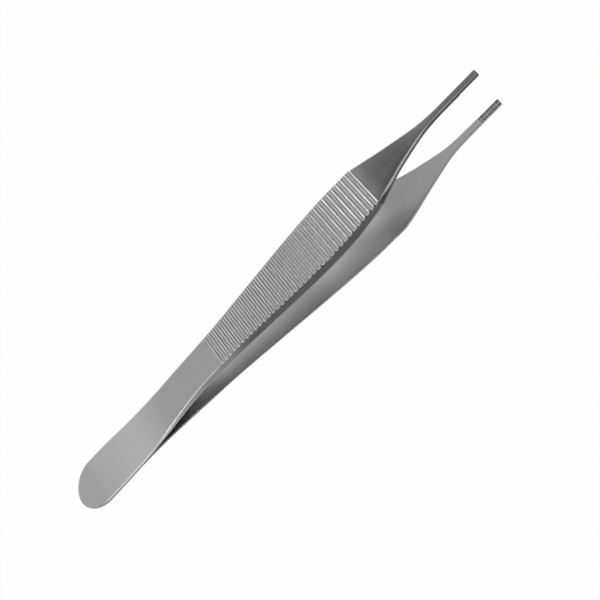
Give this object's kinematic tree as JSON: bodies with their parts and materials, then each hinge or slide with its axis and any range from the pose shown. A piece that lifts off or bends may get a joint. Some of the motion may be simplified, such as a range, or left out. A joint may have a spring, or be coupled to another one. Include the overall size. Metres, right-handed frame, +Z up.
{
  "type": "thumb forceps",
  "caption": "Thumb forceps with two bowed steel arms welded flat at the tail, wide cross-ridged grips, tapering necks and slender jaws with fine side teeth.",
  "frame": {"origin": "middle of the underside of the bounding box, with the forceps lying on their side", "axes": "+X along the arms from the tail to the tips, +Y from the middle plane towards the left arm, the way the arms open, +Z up, across the width of the arms"},
  "size_m": [0.12, 0.0142, 0.0127],
  "materials": {
    "left_arm": "satin stainless steel",
    "right_arm": "satin stainless steel"
  },
  "bodies": {
    "root": {"left_arm": "left_arm", "right_arm": "right_arm"}
  },
  "joints": []
}
